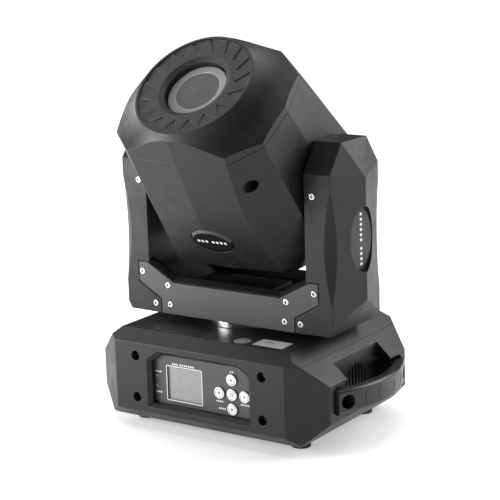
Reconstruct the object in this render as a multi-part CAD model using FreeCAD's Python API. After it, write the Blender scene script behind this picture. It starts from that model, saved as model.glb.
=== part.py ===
import FreeCAD, Part
import math
import os

# Moving head light: a base on rubber feet, a yoke that pans on it and a faceted head that tilts
# between the yoke's arms.
# Millimetres. X to the right, -Y to the front, +Z up. The origin is on the pan axis, on the plane that the
# feet stand on. The head is drawn upright about its own tilt axis, with its optical axis along +Z, and is
# then leaned forward.

V = FreeCAD.Vector
X, Y, Z = V(1, 0, 0), V(0, 1, 0), V(0, 0, 1)
CENTRE = V(0, 0, 0)

# ---- general ----
WALL = 2.6            # moulded wall thickness
SEAM = 0.5            # open line between two moulded covers
FIT = 0.15            # gap round a plate that drops into a recess
SHEET = 2.0           # steel sheet

# ---- base ----
BASE_TOP = 104.5
BASE_BOTTOM = 9.6
BASE_FRONT = 100.5    # half depth of the front and rear faces
BASE_SIDE = 139.8     # half width of the side faces
TOP_HALF_X, TOP_HALF_Y = 102.9, 87.9
CORNER_X, CORNER_Y = 104.0, 74.2          # where the corner facet leaves the front and the side face
SLOPE = 0.9                               # fall of the bevels: run outwards for one unit of height
SIDE_BEVEL_Z, FRONT_BEVEL_Z = 32.5, 20.4  # top of the lower bevels
CHEEK_X, CHEEK_SEAM = 117.0, 0.2          # joint between the centre housing and a cheek, and its gap
FOOT_X, FOOT_Y, FOOT_R = 96.2, 60.4, 9.9
RIG_X, RIG_Y, RIG_R = 53.0, 35.0, 5.0     # holes for the hanging brackets
BASE_SCREW_X, BASE_SCREW_Z = 77.7, (34.9, 79.1)
SCREW_POCKET_R, SCREW_POCKET_DEPTH = 5.2, 9.5

# front and rear recess with its control or connector plate
PANEL_HALF, PANEL_LOW, PANEL_TOP = 64.0, 26.2, 87.2
PANEL_CUT_X, PANEL_CUT_Z = 14.4, 9.7
PANEL_BEVEL, PANEL_DEPTH = 3.8, 8.8
PLATE_FACE = BASE_FRONT - PANEL_DEPTH     # half depth of the plate's outer face
WINDOW_X, WINDOW_Z, WINDOW_W, WINDOW_H = -22.9, 53.0, 43.0, 35.0
BUTTON_X, BUTTON_Z, BUTTON_PITCH = 36.6, 52.5, 15.3
BUTTON_R = 6.1
LAMP_X, LAMP_Z, LAMP_R = -57.3, (48.0, 58.7), 1.5

# hand recess and handle
NOTCH_X, NOTCH_HALF = 124.3, 42.4
MOUTH_HALF, MOUTH_LOW, MOUTH_TOP, MOUTH_R = 66.0, 38.4, 68.6, 5.0
GRILLE_Z, GRILLE_R, SLOT_PITCH, SLOT_W = 53.5, 20.0, 6.1, 3.0
HANDLE_R, HANDLE_MID_X, HANDLE_THICK = 134.0, 161.0, 12.0
HANDLE_HALF, HANDLE_LOW, HANDLE_TOP = 64.5, 41.0, 65.0
HANDLE_HOLE_Y, HANDLE_HOLE_Z, HANDLE_HOLE_R = 55.0, 52.6, 7.4
GRIP_Y, GRIP_R, GRIP_DEPTH = (8.3, 28.3), 7.7, 0.8

# pan drive
SHAFT_R, SHAFT_BORE = 26.0, 18.0
COLLAR_R, COLLAR_LOW, COLLAR_HIGH = 45.6, 105.0, 110.6  # polished ring that turns with the yoke
BEARING_R = 33.0
RUN = 0.05                                # radial running clearance
PAN_PULLEY_R, MOTOR_PULLEY_R = 44.56, 6.37
PAN_MOTOR_X = 62.0
PAN_BELT_Z = (83.0, 91.0)
BELT = 1.4
BELT_GAP = 0.25

# rear panel
INLET_X, INLET_Z = -34.0, 58.0
SOCKET_X, SOCKET_Z = (12.0, 42.0), 56.0

# ---- yoke ----
PIVOT_Z = 260.7
ARM_INNER, ARM_EDGE, ARM_RIDGE = 97.2, 126.9, 139.5
ARM_FRONT, ARM_TOP, ARM_TOP_HALF = 46.2, 301.7, 24.1
ARM_SHOULDER_Z, RIDGE_TOP_Z, RIDGE_LOW_Z = 272.9, 265.0, 141.9
ARM_LOW_Z, ARM_BOTTOM = 118.4, 111.0
LEAF_Z, LEAF_HALF, LEAF_DEPTH = 198.9, 57.0, 4.8
ARM_BADGE_Z, ARM_BADGE_HALF_Y, ARM_BADGE_HALF_Z, ARM_BADGE_X = 202.5, 21.3, 33.1, 132.2
BRIDGE_OUT_X, BRIDGE_STEP_X, BRIDGE_DIP_X = 110.7, 82.3, 66.0
BRIDGE_TOP_Z, BRIDGE_DIP_Z, BRIDGE_OUT_Z, BRIDGE_STEP_Z = 163.5, 146.3, 143.1, 126.4
BRIDGE_SHEET = 1.5
BRIDGE_GAP, BRIDGE_CHAMFER = 0.5, 0.9     # open line round a bridge panel, and the bevel beside it
LIP, LIP_FRONT = 5.0, 1.7                 # tray lip's height, and the strip of it that shows over the panel
TRAY_DROP = 5.3
FRAME_Z = 113.8
YOKE_SCREWS = [(106.0, 153.5), (73.2, 141.6), (71.1, 121.2), (89.9, 120.7), (106.1, 250.9)]
SCREW_R, SINK_R, SINK_DEPTH = 3.25, 3.65, 0.7  # yoke screw's head and the shallow seat round it

# tilt drive, in the left arm
AXLE_R, AXLE_BORE, TILT_BEARING_R = 12.0, 8.0, 17.0
TILT_PULLEY_R = 31.83
TILT_MOTOR_Z = 165.0
TILT_MOTOR_FACE = 116.7
TILT_BELT_X = (119.0, 125.0)

# ---- head ----
REST_LEAN = 41.4      # how far the optical axis leans forward at rest, degrees
# level, the flat's half width and height, the height of its middle crease, the corner's half width and
# height, and the side's half width
HEAD_SECTIONS = [
    (-44.0, 64.1, 88.8, 91.4, 94.2, 59.0, 94.8),
    (0.0, 57.6, 87.0, 90.2, 94.0, 54.0, 95.0),
    (43.8, 55.4, 82.0, 86.0, 91.6, 49.5, 94.8),
    (99.3, 57.8, 70.3, 73.9, 88.0, 43.8, 93.8),
    (133.0, 58.6, 62.6, 66.2, 85.6, 40.2, 92.4),
]
TAIL_SECTION = (-98.0, 40.0, 49.0, 50.5, 60.0, 32.0, 63.0)
FRONT_SEAM, REAR_SEAM, TAIL_L = 99.3, -44.0, -98.0
FLAT_SEAM_X, FLAT_SEAM = 57.0, 0.03       # the front seam is closed across the flats
RIM_R, RIM_L = 63.0, 132.2
CROWN_MID = (75.0, 118.6)
CROWN_LOW = (91.0, 107.6)
CROWN_END = (112.0, 95.2)
DISC_R, DISC_L, DISC_THICK = 60.4, 131.3, 3.0
WELL_R, WELL_NECK_R, WELL_BEVEL, WELL_L = 38.2, 33.2, 2.8, 119.4
GROOVES, GROOVE_OUT, GROOVE_IN, GROOVE_DEEP = 18, 60.0, 44.0, 1.0
RING_R, LENS_R, LENS_L = 31.8, 23.4, 122.9
HEAD_BADGE_L, HEAD_BADGE_HALF_X, HEAD_BADGE_HALF_L, HEAD_BADGE_Y = -2.0, 25.6, 17.2, 87.6
HEAD_BADGE_RISE, HEAD_BADGE_RIM = 3.0, 3.4
CORNER_HOLE_X, CORNER_HOLE_L, CORNER_HOLE_R = 68.1, 66.3, 6.3  # well of a screw that joins the shells
CORNER_SEAT_Y, PILLAR_R = 36.0, 5.0
CHASSIS_X, CHASSIS_Y, CHASSIS_LOW, CHASSIS_HIGH = 82.0, 40.0, -34.0, 84.0
ROD_X, ROD_R = 52.0, 3.0
COLOUR_WHEEL_Y, GOBO_WHEEL_Y, WHEEL_R = 37.0, -37.0, 43.0
COLOUR_WHEEL_L, GOBO_WHEEL_L = 8.0, 17.0
FOCUS_L = 52.0
FOCUS_SCREW_X = -38.0
FOCUS_LENS_R = 21.0
FAN_L, FAN_R = -93.5, 36.0


# ---- shape helpers ----
def box(x0, x1, y0, y1, z0, z1):
    return Part.makeBox(x1 - x0, y1 - y0, z1 - z0, V(x0, y0, z0))


def rod(radius, start, end):
    return Part.makeCylinder(radius, (end - start).Length, start, end - start)


def tube(outer, inner, start, end):
    return rod(outer, start, end).cut(rod(inner, start, end))


def prism(points, sweep):
    return Part.Face(Part.makePolygon(points + points[:1])).extrude(sweep)


def oval_wire(centre, axis, half_a, half_b, a_direction):
    """Ellipse across the axis; half_a lies along a_direction."""
    side = axis.cross(a_direction)
    curve = Part.Ellipse(centre + a_direction * half_a, centre + side * half_b, centre)
    if half_b > half_a:
        curve = Part.Ellipse(centre + side * half_b, centre - a_direction * half_a, centre)
    return Part.Wire(curve.toShape())


def oval(centre, axis, half_a, half_b, a_direction, sweep):
    """Elliptical prism."""
    return Part.Face(oval_wire(centre, axis, half_a, half_b, a_direction)).extrude(sweep)


def turned(points):
    """Solid of revolution about Z from (radius, height) points."""
    outline = [V(radius, 0, height) for radius, height in points]
    return Part.Face(Part.makePolygon(outline + outline[:1])).revolve(CENTRE, Z, 360)


def beyond(point, normal):
    """Block that fills the space past a plane."""
    size = 900.0
    block = Part.makeBox(size, size, size, V(-size / 2, -size / 2, 0))
    block.Placement = FreeCAD.Placement(point, FreeCAD.Rotation(Z, normal))
    return block


def trim(shape, point, normal, inset=0.0):
    """Cut away what lies past a plane that is moved inwards by the inset."""
    unit = V(normal).normalize()
    return shape.cut(beyond(point - unit * inset, unit))


def mirror_x(shape):
    return shape.mirror(CENTRE, X)


def mirror_y(shape):
    return shape.mirror(CENTRE, Y)


def both_x(shape):
    return [shape, mirror_x(shape)]


def four_ways(shape):
    pair = both_x(shape)
    return pair + [mirror_y(item) for item in pair]


def rounded(shape, radius, keep):
    """Fillet the straight edges whose middle point passes the test."""
    edges = [edge for edge in shape.Edges if keep(edge.CenterOfMass)]
    return shape.makeFillet(radius, edges)


def save(name, shape):
    whole = Part.makeCompound(shape) if isinstance(shape, list) else shape
    if not whole.isValid():
        print("invalid shape:", name)
    whole.exportStep("parts/" + name + ".step")


def cross_screw(point, direction, head_r=3.0, head_h=1.5, shank_r=1.35, length=9.0):
    """Cross-head screw with its head's seat at the point and its head towards the direction."""
    unit = V(direction).normalize()
    head = Part.makeCylinder(head_r, head_h, point, unit)
    top_edges = [edge for edge in head.Edges if (edge.CenterOfMass - point).dot(unit) > head_h * 0.9]
    head = head.makeFillet(head_h * 0.45, top_edges)
    side = unit.cross(Z)
    floor = point + unit * head_h * 0.15
    reach, middle, tip = head_r * 0.64, head_r * 0.29, head_r * 0.19
    for arm in (side, unit.cross(side)):
        across = unit.cross(arm)
        corners = [(-reach, tip), (0, middle), (reach, tip), (reach, -tip), (0, -middle), (-reach, -tip)]
        outline = [floor + arm * along + across * half for along, half in corners]
        head = head.cut(prism(outline, unit * head_h))
    return head.fuse(Part.makeCylinder(shank_r, length, point - unit * length, unit)).removeSplitter()


def belt_loop(big_r, small_r, distance, width):
    """Belt round two pulleys on parallel Z axes, the small one at +X."""
    def outline(extra):
        big, small = big_r + extra, small_r + extra
        lean = math.acos((big - small) / distance)
        ends = []
        for centre, radius in ((0.0, big), (distance, small)):
            ends.append(V(centre + radius * math.cos(lean), radius * math.sin(lean), 0))
        low = [V(end.x, -end.y, 0) for end in ends]
        return Part.Face(Part.Wire([
            Part.LineSegment(ends[0], ends[1]).toShape(),
            Part.Arc(ends[1], V(distance + small, 0, 0), low[1]).toShape(),
            Part.LineSegment(low[1], low[0]).toShape(),
            Part.Arc(low[0], V(-big, 0, 0), ends[0]).toShape(),
        ])).extrude(V(0, 0, width))
    return outline(BELT_GAP + BELT).cut(outline(BELT_GAP))


def pulley(radius, bore, width, flange=1.8, teeth=0):
    """Flanged belt pulley standing on Z = 0."""
    body = Part.makeCylinder(radius, width)
    for level in (-1.0, width):
        body = body.fuse(Part.makeCylinder(radius + flange, 1.0, V(0, 0, level)))
    for step in range(teeth):
        angle = math.radians(step * 360.0 / teeth)
        spot = V(radius * math.cos(angle), radius * math.sin(angle), 0)
        body = body.cut(Part.makeCylinder(0.5, width, spot))
    return body.cut(Part.makeCylinder(bore, width + 4, V(0, 0, -2)))


def square_motor(half, height, shaft_r, shaft_h, corner):
    """Stepper motor whose face is on Z = 0 and whose shaft points up."""
    can = box(-half, half, -half, half, -height, 0)
    cuts = []
    for sx in (-1, 1):
        for sy in (-1, 1):
            cuts.append((V(sx * (half - corner / 2), sy * (half - corner / 2), 0), V(sx, sy, 0)))
    for point, normal in cuts:
        can = trim(can, point, normal)
    band = box(-half - 1, half + 1, -half - 1, half + 1, -height * 0.78, -height * 0.22)
    waist = band.cut(box(-half + 0.8, half - 0.8, -half + 0.8, half - 0.8, -height, 0))
    return can.cut(waist).fuse(Part.makeCylinder(11, 1.8)).fuse(Part.makeCylinder(shaft_r, shaft_h))


# ---- base ----
def base_form(inset=0.0):
    """The base's faceted block, or the same block with every face moved inwards."""
    floor = BASE_BOTTOM - 6 if inset else BASE_BOTTOM
    form = box(-BASE_SIDE + inset, BASE_SIDE - inset, -BASE_FRONT + inset, BASE_FRONT - inset, floor,
               BASE_TOP - inset)
    corner = V(BASE_FRONT - CORNER_Y, BASE_SIDE - CORNER_X, 0)
    for s in (-1, 1):
        form = trim(form, V(s * TOP_HALF_X, 0, BASE_TOP), V(s * SLOPE, 0, 1), inset)
        form = trim(form, V(0, s * TOP_HALF_Y, BASE_TOP), V(0, s * SLOPE, 1), inset)
        form = trim(form, V(s * BASE_SIDE, 0, SIDE_BEVEL_Z), V(s * SLOPE, 0, -1), inset)
        form = trim(form, V(0, s * BASE_FRONT, FRONT_BEVEL_Z), V(0, s * SLOPE, -1), inset)
        for t in (-1, 1):
            form = trim(form, V(s * CORNER_X, t * BASE_FRONT, 0), V(s * corner.x, t * corner.y, 0), inset)
    return form


def soft_base_form():
    return rounded(base_form(), 1.0, lambda middle: middle.z > BASE_BOTTOM + 1)


def panel_outline(shrink, y):
    """Recess outline with its two upper corners cut, shrunk on every side."""
    half, low, top = PANEL_HALF - shrink, PANEL_LOW + shrink, PANEL_TOP - shrink
    ease = shrink * 0.47
    return [V(-half, y, low), V(half, y, low), V(half, y, top - PANEL_CUT_Z + ease * 0.7),
            V(half - PANEL_CUT_X + ease, y, top), V(-half + PANEL_CUT_X - ease, y, top),
            V(-half, y, top - PANEL_CUT_Z + ease * 0.7)]


def panel_prism(shrink, y0, y1):
    return prism(panel_outline(shrink, y0), V(0, y1 - y0, 0))


def panel_bevel():
    wires = []
    for shrink, y in ((-0.4, -BASE_FRONT - 0.4), (PANEL_BEVEL, -BASE_FRONT + PANEL_BEVEL)):
        points = panel_outline(shrink, y)
        wires.append(Part.makePolygon(points + points[:1]))
    return Part.makeLoft(wires, True, True)


def base_housing(outer):
    half = CHEEK_X - CHEEK_SEAM / 2
    body = outer.common(box(-half, half, -120, 120, 0, 120)).cut(base_form(WALL))
    pocket_wall = WALL - 0.4
    front = -BASE_FRONT
    adds = [panel_prism(PANEL_BEVEL - pocket_wall, front + 1.5, front + PANEL_DEPTH + SHEET)]
    cuts = [panel_prism(PANEL_BEVEL, front - 1, front + PANEL_DEPTH + SHEET + 1), panel_bevel()]
    for sx in (-1, 1):
        for z in BASE_SCREW_Z:
            mouth = V(sx * BASE_SCREW_X, front, z)
            deep = mouth + Y * SCREW_POCKET_DEPTH
            adds.append(rod(SCREW_POCKET_R + WALL, mouth + Y * 1.5, deep + Y * 3))
            cuts.append(rod(SCREW_POCKET_R, mouth - Y * 2, deep))
            cuts.append(rod(1.4, mouth, deep + Y * 4))
    adds += [mirror_y(item) for item in adds]
    cuts += [mirror_y(item) for item in cuts]
    adds.append(rod(BEARING_R + 4, V(0, 0, BASE_TOP - 10), V(0, 0, BASE_TOP - 1)))
    cuts.append(rod(BEARING_R, V(0, 0, BASE_TOP - 12), V(0, 0, BASE_TOP + 1)))
    return body.fuse(adds).cut(cuts).removeSplitter()


def hand_recess():
    """Space for the hand: a notch down from the slope and a wider mouth in the side face."""
    notch = box(NOTCH_X, 150, -NOTCH_HALF, NOTCH_HALF, MOUTH_LOW, 110)
    mouth = box(NOTCH_X, 150, -MOUTH_HALF, MOUTH_HALF, MOUTH_LOW, MOUTH_TOP)
    along_x = [edge for edge in mouth.Edges if abs(edge.tangentAt(edge.FirstParameter).x) > 0.9]
    return notch.fuse(mouth.makeFillet(MOUTH_R, along_x))


def grille_slots():
    slots = []
    for step in range(-3, 4):
        y = step * SLOT_PITCH
        rise = math.sqrt(GRILLE_R ** 2 - y ** 2)
        low = max(GRILLE_Z - rise, MOUTH_LOW + 2)
        slots.append(box(CHEEK_X, NOTCH_X + 1, y - SLOT_W / 2, y + SLOT_W / 2, low, GRILLE_Z + rise))
    return slots


def base_cheek(outer):
    """Right cheek; the left one is its mirror image."""
    start = CHEEK_X + CHEEK_SEAM / 2
    side = outer.common(box(start, 150, -120, 120, 0, 120))
    reach = MOUTH_HALF + WALL
    liner = side.common(box(NOTCH_X - WALL, 150, -reach, reach, MOUTH_LOW - WALL, 120))
    cavity = base_form(WALL).common(box(start - 1, 150, -120, 120, MOUTH_LOW - 14, 120))
    cuts = [hand_recess()] + grille_slots()
    for y in (-HANDLE_HOLE_Y, HANDLE_HOLE_Y):
        cuts.append(rod(2.2, V(start, y, HANDLE_HOLE_Z), V(150, y, HANDLE_HOLE_Z)))
    return side.cut(cavity).fuse(liner).cut(cuts).removeSplitter()


def handle():
    """Right carrying handle: a bowed bar on two legs."""
    centre_x = HANDLE_MID_X - HANDLE_R
    low, high = V(centre_x, 0, HANDLE_LOW), V(centre_x, 0, HANDLE_TOP)
    bow = tube(HANDLE_R, HANDLE_R - HANDLE_THICK, low, high)
    bow = bow.common(box(100, 170, -HANDLE_HALF, HANDLE_HALF, HANDLE_LOW, HANDLE_TOP))
    bow = rounded(bow, 3.2, lambda middle: abs(middle.z - HANDLE_HOLE_Z) > 5 and 20 < abs(middle.y) < 50)
    leg = box(NOTCH_X, 140, NOTCH_HALF + 1.6, HANDLE_HALF, HANDLE_LOW + 1, HANDLE_TOP - 1)
    body = bow.fuse([leg, mirror_y(leg)])
    cuts = []
    for sy in (-1, 1):
        axis = V(0, sy * HANDLE_HOLE_Y, HANDLE_HOLE_Z)
        cuts.append(rod(HANDLE_HOLE_R, axis + X * (NOTCH_X + 5), axis + X * 170))
        cuts.append(rod(2.2, axis + X * (NOTCH_X - 1), axis + X * 140))
        for y in GRIP_Y:
            cuts.append(finger_mark(sy * y, sy))
    return body.cut(cuts)


def finger_mark(y, side):
    """Crescent pressed into the handle's outer face, hollow side towards the middle."""
    out = V(math.sqrt(HANDLE_R ** 2 - y ** 2), y, 0) / HANDLE_R
    spot = V(HANDLE_MID_X - HANDLE_R, 0, HANDLE_HOLE_Z) + out * (HANDLE_R - GRIP_DEPTH)
    inner = spot - Z.cross(out) * side * 1.7
    return rod(GRIP_R, spot, spot + out * 9).cut(rod(GRIP_R + 0.5, inner - out, inner + out * 10))


def bottom_plate():
    plate = base_form(WALL + FIT).common(box(-150, 150, -120, 120, BASE_BOTTOM, BASE_BOTTOM + SHEET))
    holes = four_ways(rod(RIG_R, V(RIG_X, RIG_Y, 0), V(RIG_X, RIG_Y, 20)))
    return plate.cut(holes)


def rubber_feet():
    foot = rod(FOOT_R, V(FOOT_X, FOOT_Y, 0), V(FOOT_X, FOOT_Y, BASE_BOTTOM))
    foot = foot.cut(rod(4.2, V(FOOT_X, FOOT_Y, -1), V(FOOT_X, FOOT_Y, 2.5)))
    return four_ways(foot)


def base_screws():
    screws = []
    for sy in (-1, 1):
        for z in BASE_SCREW_Z:
            seat = V(BASE_SCREW_X, sy * (BASE_FRONT - SCREW_POCKET_DEPTH), z)
            screws += both_x(cross_screw(seat, Y * sy, 3.4, 2.2, length=8))
        seat = V(NOTCH_X + 5, sy * HANDLE_HOLE_Y, HANDLE_HOLE_Z)
        screws += both_x(cross_screw(seat, X, 5.0, 3.0, 2.1, 8))
    return screws


def button_places():
    return {
        "button_up": (BUTTON_X, BUTTON_Z + BUTTON_PITCH),
        "button_down": (BUTTON_X, BUTTON_Z - BUTTON_PITCH),
        "button_left": (BUTTON_X - BUTTON_PITCH, BUTTON_Z),
        "button_right": (BUTTON_X + BUTTON_PITCH, BUTTON_Z),
        "button_enter": (BUTTON_X, BUTTON_Z),
    }


def window_box(grow, y0, y1):
    half_w, half_h = WINDOW_W / 2 + grow, WINDOW_H / 2 + grow
    return box(WINDOW_X - half_w, WINDOW_X + half_w, y0, y1, WINDOW_Z - half_h, WINDOW_Z + half_h)


def control_panel():
    plate = panel_prism(PANEL_BEVEL + FIT, -PLATE_FACE, -PLATE_FACE + SHEET)
    cuts = [window_box(0, -100, -80)]
    for x, z in button_places().values():
        cuts.append(rod(BUTTON_R + 0.3, V(x, -100, z), V(x, -80, z)))
    for z in LAMP_Z:
        cuts.append(rod(LAMP_R, V(LAMP_X, -100, z), V(LAMP_X, -80, z)))
    return plate.cut(cuts)


def display_window():
    back = -PLATE_FACE + SHEET
    return window_box(1.2, back, back + 0.8)


def indicator_lamps():
    lamps = []
    for z in LAMP_Z:
        tip = V(LAMP_X, -PLATE_FACE - 0.6, z)
        lamps.append(rounded(rod(LAMP_R, tip, tip + Y * 6.5), 0.6, lambda middle: middle.y < tip.y + 0.1))
    return lamps


def button(x, z, symbol_turn=None):
    """Round push button; its symbol is a sunken arrow, or a ring in the middle one."""
    face, plate_back = -PLATE_FACE - 1.9, -PLATE_FACE + SHEET
    cap = rod(BUTTON_R, V(x, face, z), V(x, plate_back + 0.1, z))
    cap = rounded(cap, 0.6, lambda middle: middle.y < face + 0.1)
    flange = rod(BUTTON_R + 1.1, V(x, plate_back + 0.1, z), V(x, plate_back + 0.8, z))
    stem = rod(2.0, V(x, plate_back + 0.8, z), V(x, plate_back + 1.2, z))
    body = cap.fuse([flange, stem]).removeSplitter()
    cuts = [tube(4.7, 4.2, V(x, face - 1, z), V(x, face + 0.3, z))]
    if symbol_turn is None:
        cuts.append(tube(2.1, 1.3, V(x, face - 1, z), V(x, face + 0.4, z)))
    else:
        corners = []
        for step in range(3):
            angle = math.radians(symbol_turn + 120 * step)
            corners.append(V(x + 1.9 * math.cos(angle), face - 1, z + 1.9 * math.sin(angle)))
        cuts.append(prism(corners, Y * 1.4))
    return body.cut(cuts)


def circuit_boards():
    """Button and display board behind the panel, and the main board on the bottom plate."""
    front = -PLATE_FACE + SHEET + 4.6
    board = box(-58.5, 58.5, front, front + 1.6, 31.0, 80.5)
    parts = [window_box(1.0, -PLATE_FACE + SHEET + 0.9, front)]
    for x, z in button_places().values():
        parts.append(box(x - 3, x + 3, front - 2.5, front, z - 3, z + 3))
    for z in LAMP_Z:
        parts.append(box(LAMP_X - 1.5, LAMP_X + 1.5, front - 0.4, front, z - 1.5, z + 1.5))
    main = box(20, 100, -60, 60, 16, 17.6)
    chips = [box(30, 44, -50, -36, 17.6, 20), box(56, 74, -54, -40, 17.6, 21), box(30, 90, 46, 56, 17.6, 27)]
    for step in range(3):
        chips.append(Part.makeCylinder(5, 14, V(40 + step * 14, 34, 17.6)))
    for x in (25, 95):
        for y in (-55, 55):
            chips.append(Part.makeCylinder(2.5, 16 - BASE_BOTTOM - SHEET, V(x, y, BASE_BOTTOM + SHEET)))
    return [board.fuse(parts), main.fuse(chips)]


def rear_panel():
    plate = panel_prism(PANEL_BEVEL + FIT, -PLATE_FACE, -PLATE_FACE + SHEET)
    plate = mirror_y(plate)
    cuts = [box(INLET_X - 14, INLET_X + 14, 80, 100, INLET_Z - 15, INLET_Z + 11)]
    for x in SOCKET_X:
        cuts.append(rod(12, V(x, 80, SOCKET_Z), V(x, 100, SOCKET_Z)))
    return plate.cut(cuts)


def power_inlet():
    """Three-pin mains inlet with a fuse drawer under it."""
    face = PLATE_FACE
    flange = box(INLET_X - 17, INLET_X + 17, face, face + 2, INLET_Z - 18, INLET_Z + 14)
    body = box(INLET_X - 13.8, INLET_X + 13.8, face - 22, face, INLET_Z - 14.8, INLET_Z + 10.8)
    shape = flange.fuse(body)
    shape = shape.cut(prism([
        V(INLET_X - 12, face + 3, INLET_Z - 8.2), V(INLET_X + 12, face + 3, INLET_Z - 8.2),
        V(INLET_X + 12, face + 3, INLET_Z + 4.0), V(INLET_X + 8, face + 3, INLET_Z + 8.2),
        V(INLET_X - 8, face + 3, INLET_Z + 8.2), V(INLET_X - 12, face + 3, INLET_Z + 4.0)], V(0, -19, 0)))
    pins = []
    for dx, dz in ((-7, -1.6), (0, 2.4), (7, -1.6)):
        x, z = INLET_X + dx, INLET_Z + dz
        pins.append(box(x - 1, x + 1, face - 17, face - 5.5, z - 2, z + 2))
    drawer = box(INLET_X - 10, INLET_X + 10, face + 1, face + 3.4, INLET_Z - 16, INLET_Z - 10)
    return shape.fuse(pins + [drawer])


def dmx_sockets():
    """Three-pole signal input with pins in a deep well, and output with holes in a raised face."""
    solids = []
    for x, is_input in zip(SOCKET_X, (True, False)):
        face = PLATE_FACE
        flange = box(x - 13, x + 13, face, face + 2, SOCKET_Z - 15.5, SOCKET_Z + 15.5)
        shape = flange.fuse(rod(11.8, V(x, face - 22, SOCKET_Z), V(x, face, SOCKET_Z)))
        depth = 15 if is_input else 1
        poles = []
        for step in range(3):
            angle = math.radians(90 + 120 * step)
            spot = V(x + 4.2 * math.cos(angle), face - 16, SOCKET_Z + 4.2 * math.sin(angle))
            poles.append(rod(1.2, spot, spot + Y * (10.5 if is_input else 18)))
        if is_input:
            shape = shape.cut(rod(8.6, V(x, face - depth, SOCKET_Z), V(x, face + 3, SOCKET_Z))).fuse(poles)
        else:
            groove = tube(8.6, 7.2, V(x, face - depth, SOCKET_Z), V(x, face + 3, SOCKET_Z))
            shape = shape.cut([groove] + poles)
            shape = shape.fuse(box(x - 3, x + 3, face + 2, face + 4, SOCKET_Z + 10, SOCKET_Z + 14.5))
        for sx, sz in ((-1, 1), (1, -1)):
            spot = V(x + sx * 9.6, face + 1.8, SOCKET_Z + sz * 12.2)
            shape = shape.fuse(rod(1.6, spot, spot + Y * 1.0))
        solids.append(shape)
    return solids


def power_supply():
    case = box(-100, -12, -34, 56, BASE_BOTTOM + SHEET, 48)
    slots = [box(-94 + step * 9, -90 + step * 9, -24, 46, 46, 50) for step in range(9)]
    return case.cut(box(-98.5, -13.5, -32.5, 54.5, BASE_BOTTOM + SHEET + 1.5, 46.5)).cut(slots)


def pan_motor():
    top = PAN_BELT_Z[0] - 5
    motor = square_motor(21.1, 38, 2.5, 13, 6)
    motor.translate(V(PAN_MOTOR_X, 0, top))
    bracket = box(PAN_MOTOR_X - 21, PAN_MOTOR_X + 34, -21, 21, top, top + 2.5)
    bracket = bracket.cut(rod(11, V(PAN_MOTOR_X, 0, top - 1), V(PAN_MOTOR_X, 0, top + 4)))
    foot = box(PAN_MOTOR_X + 31.5, PAN_MOTOR_X + 34, -21, 21, top, BASE_TOP - WALL)
    return motor.fuse([bracket, foot])


def pan_belt():
    belt = belt_loop(PAN_PULLEY_R, MOTOR_PULLEY_R, PAN_MOTOR_X, 6.0)
    belt.translate(V(0, 0, PAN_BELT_Z[0] + 1))
    return belt


def pan_motor_pulley():
    wheel = pulley(MOTOR_PULLEY_R, 2.5 + RUN, PAN_BELT_Z[1] - PAN_BELT_Z[0], 1.6)
    wheel.translate(V(PAN_MOTOR_X, 0, PAN_BELT_Z[0]))
    return wheel


def pan_bearing():
    return tube(BEARING_R, SHAFT_R + RUN, V(0, 0, BASE_TOP - 9.5), V(0, 0, BASE_TOP))


# ---- yoke ----
def arm_form(inset=0.0):
    """Right arm as a faceted block, or the same block with every face but the inner one moved inwards."""
    edge, ridge, front = ARM_EDGE, ARM_RIDGE, ARM_FRONT
    form = box(ARM_INNER, ridge, -front + inset, front - inset, ARM_BOTTOM + inset, ARM_TOP - inset)
    side = V(front, ridge - edge, 0)
    rise = ARM_TOP - ARM_SHOULDER_Z
    form = trim(form, V(ridge, 0, RIDGE_LOW_Z), V(RIDGE_LOW_Z - ARM_LOW_Z, 0, edge - ridge), inset)
    top_fall = V(ARM_TOP - RIDGE_TOP_Z, 0, ridge - edge)
    form = trim(form, V(edge, 0, ARM_TOP), top_fall, inset)
    for s in (-1, 1):
        form = trim(form, V(edge, s * front, 0), V(side.x, s * side.y, 0), inset)
        form = trim(form, V(0, s * ARM_TOP_HALF, ARM_TOP), V(0, s * rise, front - ARM_TOP_HALF), inset)
        high, low = V(edge, s * ARM_TOP_HALF, ARM_TOP), V(edge, s * front, ARM_SHOULDER_Z)
        facet = (low - high).cross(V(ridge, 0, RIDGE_TOP_Z) - high) * -s
        form = trim(form, high, facet, inset)
        form = form.cut(leaf_cutter(s, inset))
    return form


def leaf_cutter(s, inset):
    """Large drum that scoops a long leaf out of the arm's outer vertical edge."""
    radius = (LEAF_HALF ** 2 + LEAF_DEPTH ** 2) / (2 * LEAF_DEPTH)
    outward = V(ARM_FRONT, s * (ARM_RIDGE - ARM_EDGE), 0).normalize() + V(0, s, 0)
    outward.normalize()
    centre = V(ARM_EDGE, s * ARM_FRONT, LEAF_Z) + outward * (radius - LEAF_DEPTH)
    along = outward.cross(Z)
    return rod(radius + inset, centre - along * 40, centre + along * 40)


def arm_badge_oval(shrink, x0, x1):
    return oval(V(x0, 0, ARM_BADGE_Z), X, ARM_BADGE_HALF_Z - shrink, ARM_BADGE_HALF_Y - shrink, Z,
                X * (x1 - x0))


def bridge_outline(y, gap=0.0):
    """Front view of a bridge panel, or of the recess that it lies in, which is wider by the gap."""
    low = BRIDGE_STEP_X + gap
    out = BRIDGE_OUT_X + gap
    slope = (BRIDGE_TOP_Z - BRIDGE_DIP_Z) / (ARM_INNER - BRIDGE_DIP_X)
    half = [V(low, y, ARM_BOTTOM - gap * 3), V(low, y, BRIDGE_STEP_Z - gap), V(out, y, BRIDGE_OUT_Z - gap),
            V(out, y, BRIDGE_TOP_Z + gap), V(ARM_INNER + LIP_FRONT / slope, y, BRIDGE_TOP_Z + gap),
            V(BRIDGE_DIP_X, y, BRIDGE_DIP_Z - LIP_FRONT)]
    return half + [V(-point.x, y, point.z) for point in reversed(half)]


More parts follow.
